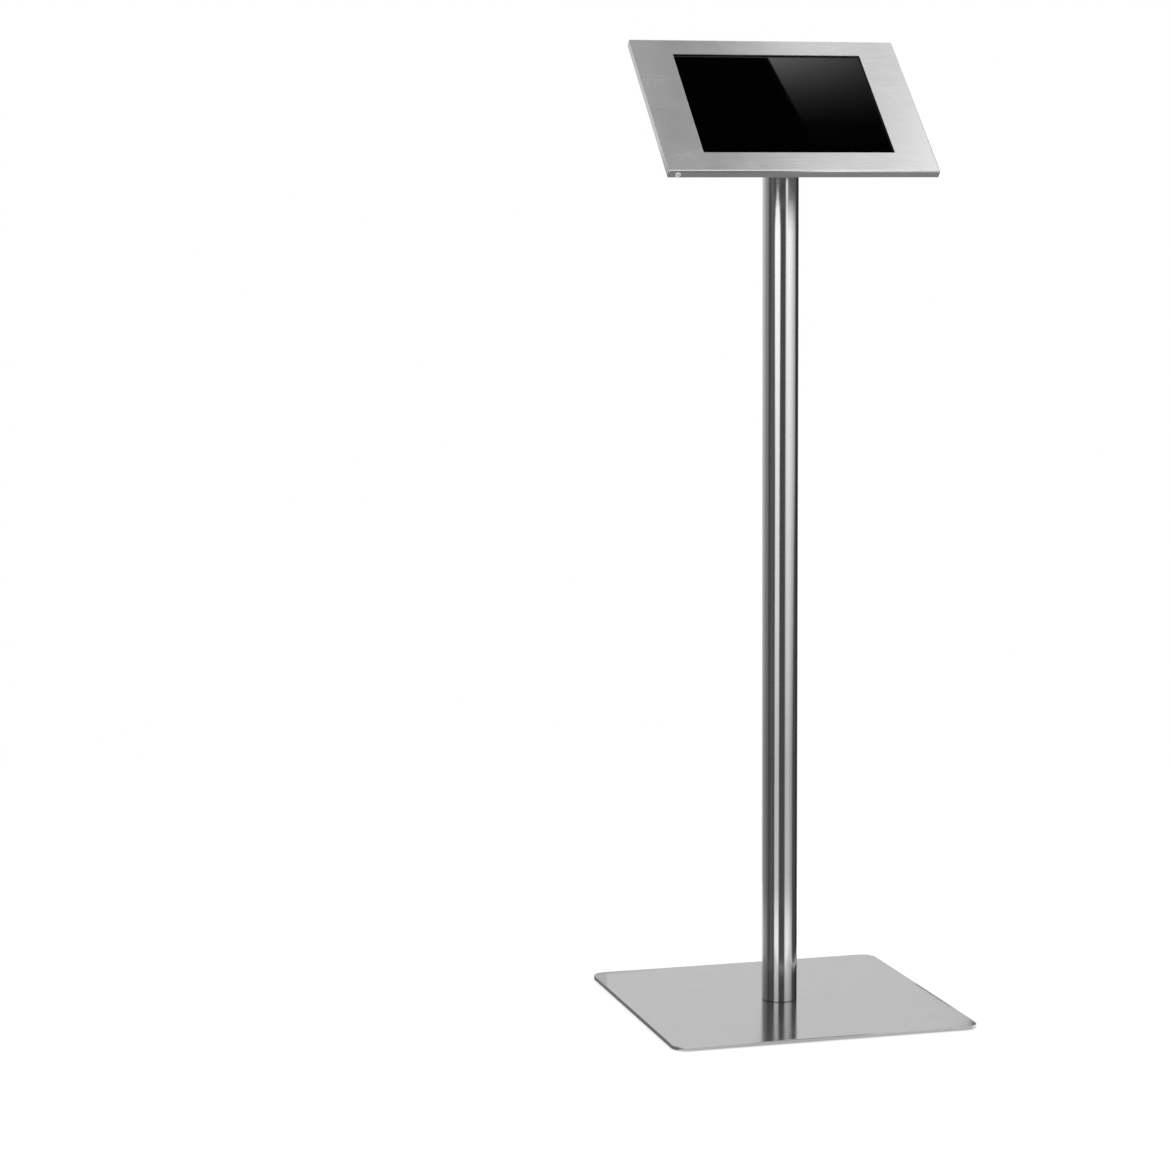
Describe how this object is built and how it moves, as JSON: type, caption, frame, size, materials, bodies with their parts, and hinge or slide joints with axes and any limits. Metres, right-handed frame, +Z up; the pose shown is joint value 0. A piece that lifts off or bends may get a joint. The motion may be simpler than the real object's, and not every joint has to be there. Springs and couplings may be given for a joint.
{
  "type": "tablet security kiosk stand",
  "caption": "Free-standing floor stand: square steel base, round pole and a sloping flat head that locks a tablet behind a hinged, windowed cover.",
  "frame": {"origin": "on the floor under the middle of the base, on the axis of the pole", "axes": "+Z up along the pole, -Y towards the user in front of the screen, +X to the user's right"},
  "size_m": [0.42, 0.42, 1.3007],
  "materials": {
    "brushed_base": "fine brushed stainless steel, half polished",
    "brushed_pole": "brushed stainless tube",
    "brushed_cover": "stainless sheet brushed across its width",
    "satin_sheet": "plain rolled stainless sheet",
    "plain_steel": "plain machined steel",
    "hinge_steel": "stainless piano hinge",
    "zinc_screws": "bright stainless fasteners",
    "lock_chrome": "bright nickel plate",
    "black_rubber": "matt black rubber",
    "black_foam": "closed-cell foam",
    "black_plastic": "moulded black plastic",
    "tablet_aluminium": "blasted and anodised",
    "tablet_buttons": "anodised",
    "screen_glass": "polished cover glass",
    "display_black": "switched-off display"
  },
  "bodies": {
    "stand": {"base_plate": "brushed_base", "base_rubber_feet": "black_rubber", "pole_tube": "brushed_pole", "pole_foot_plug": "plain_steel", "foot_screws": "zinc_screws", "pole_cable_grommet": "black_rubber", "head_mounting_plate": "plain_steel", "rear_cable_box": "satin_sheet", "box_cable_grommet": "black_rubber", "head_screw_washers": "zinc_screws", "head_screws": "zinc_screws", "back_tray": "satin_sheet", "hinge_leaf_tray": "hinge_steel", "hinge_pin": "hinge_steel", "tablet_housing": "tablet_aluminium", "tablet_glass": "screen_glass", "tablet_display": "display_black", "tablet_foam_pads": "black_foam", "corner_holder_upper_left": "black_plastic", "corner_holder_upper_right": "black_plastic", "corner_holder_lower_left": "black_plastic", "corner_holder_lower_right": "black_plastic", "corner_holder_screws": "zinc_screws", "lock_keeper": "plain_steel"},
    "cover": {"front_cover": "brushed_cover", "window_gasket": "black_foam", "hinge_leaf_cover": "hinge_steel", "lock_housing": "lock_chrome", "lock_clip": "zinc_screws"},
    "lock_rotor": {"lock_core": "lock_chrome", "lock_bar": "plain_steel", "lock_bar_screw": "zinc_screws"},
    "power_button": {"tablet_power_button": "tablet_buttons"},
    "volume_up_button": {"tablet_volume_up_button": "tablet_buttons"},
    "volume_down_button": {"tablet_volume_down_button": "tablet_buttons"}
  },
  "joints": [
    {"name": "cover_hinge", "type": "hinge", "parent": "stand", "child": "cover", "pos_m": [0, 0.08573, 1.29157], "axis": [-1, 0, 0], "range_deg": [0, 150]},
    {"name": "lock_turn", "type": "hinge", "parent": "cover", "child": "lock_rotor", "pos_m": [-0.172, -0.10059, 1.11965], "axis": [0, 0.7254, 0.6884], "range_deg": [0, 90]},
    {"name": "power_button_press", "type": "slide", "parent": "stand", "child": "power_button", "axis": [1, 0, 0], "range_m": [0, 0.0003], "stiffness_N_per_m": 2000},
    {"name": "volume_up_press", "type": "slide", "parent": "stand", "child": "volume_up_button", "axis": [0, -0.7254, -0.6884], "range_m": [0, 0.0003], "stiffness_N_per_m": 2000},
    {"name": "volume_down_press", "type": "slide", "parent": "stand", "child": "volume_down_button", "axis": [0, -0.7254, -0.6884], "range_m": [0, 0.0003], "stiffness_N_per_m": 2000}
  ]
}
